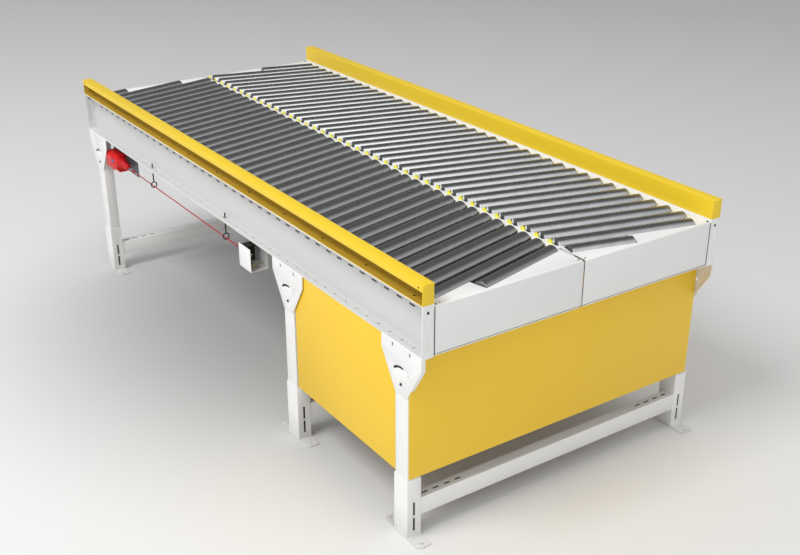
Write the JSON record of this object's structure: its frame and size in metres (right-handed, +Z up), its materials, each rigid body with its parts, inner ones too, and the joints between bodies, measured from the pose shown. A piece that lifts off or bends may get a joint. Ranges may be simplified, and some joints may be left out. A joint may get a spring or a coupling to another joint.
{
  "type": "discharge conveyor",
  "caption": "Two-lane roller discharge table with skewed rollers, yellow guard rails, skirted drive bay, height-adjustable legs and a pull-rope stop switch.",
  "frame": {"origin": "on the floor, under the middle of the table in length and in width", "axes": "+Z up, +Y from the discharge end back along the lanes, +X to the right seen from the discharge end"},
  "size_m": [1.358, 3.002, 1.003],
  "materials": {
    "white_paint": "satin",
    "yellow_paint": "satin",
    "roller_steel": "zinc plated",
    "axle_steel": "bright",
    "grey_paint": "matte",
    "cast_grey": "painted",
    "motor_paint": "painted",
    "belt_rubber": "matte",
    "red_paint": "gloss",
    "blue_plastic": "gloss",
    "rope_red": "sheathed wire rope"
  },
  "bodies": {
    "stand": {"leg_sleeves": "white_paint", "front_cross_beam": "white_paint", "middle_cross_beam": "white_paint", "back_cross_beam": "white_paint"},
    "deck": {"leg_posts": "white_paint", "leg_brackets": "white_paint", "left_side_frame": "white_paint", "right_side_frame": "white_paint", "left_guard_rail": "yellow_paint", "right_guard_rail": "yellow_paint", "left_roller_comb": "white_paint", "right_roller_comb": "white_paint", "centre_beam": "white_paint", "centre_finger_guard": "yellow_paint", "front_left_cover": "white_paint", "front_right_cover": "white_paint", "back_left_cover": "white_paint", "back_right_cover": "white_paint", "left_lane_rollers": "roller_steel", "right_lane_rollers": "roller_steel", "roller_axles": "axle_steel", "cross_ties": "white_paint", "left_skirt": "yellow_paint", "right_skirt": "yellow_paint", "front_skirt": "yellow_paint", "back_skirt": "yellow_paint", "lane_belts": "belt_rubber", "belt_beds": "grey_paint", "shaft_bearings": "cast_grey", "motor_mount": "grey_paint", "gear_motor": "motor_paint", "drive_belt": "belt_rubber", "stop_switch": "red_paint", "switch_plate": "grey_paint", "eyebolts": "axle_steel", "rope_anchor": "white_paint", "anchor_screw": "axle_steel"},
    "drive_shaft": {"drive_shaft": "axle_steel", "drive_pulleys": "axle_steel"},
    "tail_shaft": {"tail_shaft": "axle_steel", "tail_pulleys": "axle_steel"},
    "motor_pulley": {"motor_pulley": "axle_steel"},
    "rope": {"pull_rope": "rope_red", "switch_plunger": "axle_steel", "anchor_spring": "axle_steel"},
    "reset_button": {"reset_button": "blue_plastic"},
    "left_roller_1": {"left_roller_1": "roller_steel"},
    "left_roller_2": {"left_roller_2": "roller_steel"},
    "left_roller_3": {"left_roller_3": "roller_steel"},
    "left_roller_4": {"left_roller_4": "roller_steel"},
    "left_roller_5": {"left_roller_5": "roller_steel"},
    "right_roller_1": {"right_roller_1": "roller_steel"},
    "right_roller_2": {"right_roller_2": "roller_steel"},
    "right_roller_3": {"right_roller_3": "roller_steel"},
    "right_roller_4": {"right_roller_4": "roller_steel"},
    "right_roller_5": {"right_roller_5": "roller_steel"}
  },
  "joints": [
    {"name": "deck_height", "type": "slide", "parent": "stand", "child": "deck", "axis": [0, 0, 1], "range_m": [0, 0.1]},
    {"name": "drive_shaft_turn", "type": "hinge", "parent": "deck", "child": "drive_shaft", "pos_m": [0, -1.395, 0.8324], "axis": [1, 0, 0], "continuous": true},
    {"name": "tail_shaft_turn", "type": "hinge", "parent": "deck", "child": "tail_shaft", "pos_m": [0, 1.395, 0.8324], "axis": [1, 0, 0], "continuous": true},
    {"name": "motor_pulley_turn", "type": "hinge", "parent": "deck", "child": "motor_pulley", "pos_m": [0, -1.01, 0.623], "axis": [1, 0, 0], "continuous": true},
    {"name": "rope_pull", "type": "slide", "parent": "deck", "child": "rope", "axis": [0, -1, 0], "range_m": [0, 0.008], "stiffness_N_per_m": 2500, "springref_m": -0.004},
    {"name": "reset_press", "type": "slide", "parent": "deck", "child": "reset_button", "axis": [1, 0, 0], "range_m": [0, 0.003], "stiffness_N_per_m": 800, "springref_m": -0.001},
    {"name": "left_roller_1_turn", "type": "hinge", "parent": "deck", "child": "left_roller_1", "pos_m": [-0.024, -1.361, 0.906], "axis": [0.9703, 0.2419, 0], "continuous": true},
    {"name": "left_roller_2_turn", "type": "hinge", "parent": "deck", "child": "left_roller_2", "pos_m": [-0.024, -1.286, 0.906], "axis": [0.9703, 0.2419, 0], "continuous": true},
    {"name": "left_roller_3_turn", "type": "hinge", "parent": "deck", "child": "left_roller_3", "pos_m": [-0.024, -1.211, 0.906], "axis": [0.9703, 0.2419, 0], "continuous": true},
    {"name": "left_roller_4_turn", "type": "hinge", "parent": "deck", "child": "left_roller_4", "pos_m": [-0.024, -1.136, 0.906], "axis": [0.9703, 0.2419, 0], "continuous": true},
    {"name": "left_roller_5_turn", "type": "hinge", "parent": "deck", "child": "left_roller_5", "pos_m": [-0.024, -1.061, 0.906], "axis": [0.9703, 0.2419, 0], "continuous": true},
    {"name": "right_roller_1_turn", "type": "hinge", "parent": "deck", "child": "right_roller_1", "pos_m": [0.024, -1.3985, 0.906], "axis": [0.9703, -0.2419, 0], "continuous": true},
    {"name": "right_roller_2_turn", "type": "hinge", "parent": "deck", "child": "right_roller_2", "pos_m": [0.024, -1.3235, 0.906], "axis": [0.9703, -0.2419, 0], "continuous": true},
    {"name": "right_roller_3_turn", "type": "hinge", "parent": "deck", "child": "right_roller_3", "pos_m": [0.024, -1.2485, 0.906], "axis": [0.9703, -0.2419, 0], "continuous": true},
    {"name": "right_roller_4_turn", "type": "hinge", "parent": "deck", "child": "right_roller_4", "pos_m": [0.024, -1.1735, 0.906], "axis": [0.9703, -0.2419, 0], "continuous": true},
    {"name": "right_roller_5_turn", "type": "hinge", "parent": "deck", "child": "right_roller_5", "pos_m": [0.024, -1.0985, 0.906], "axis": [0.9703, -0.2419, 0], "continuous": true}
  ],
  "couplings": [
    {"joint": "tail_shaft_turn", "follows": "drive_shaft_turn", "ratio": 1},
    {"joint": "motor_pulley_turn", "follows": "drive_shaft_turn", "ratio": 1},
    {"joint": "left_roller_1_turn", "follows": "drive_shaft_turn", "ratio": -1.4005},
    {"joint": "left_roller_2_turn", "follows": "drive_shaft_turn", "ratio": -1.4005},
    {"joint": "left_roller_3_turn", "follows": "drive_shaft_turn", "ratio": -1.4005},
    {"joint": "left_roller_4_turn", "follows": "drive_shaft_turn", "ratio": -1.4005},
    {"joint": "left_roller_5_turn", "follows": "drive_shaft_turn", "ratio": -1.4005},
    {"joint": "right_roller_1_turn", "follows": "drive_shaft_turn", "ratio": -1.4005},
    {"joint": "right_roller_2_turn", "follows": "drive_shaft_turn", "ratio": -1.4005},
    {"joint": "right_roller_3_turn", "follows": "drive_shaft_turn", "ratio": -1.4005},
    {"joint": "right_roller_4_turn", "follows": "drive_shaft_turn", "ratio": -1.4005},
    {"joint": "right_roller_5_turn", "follows": "drive_shaft_turn", "ratio": -1.4005}
  ]
}
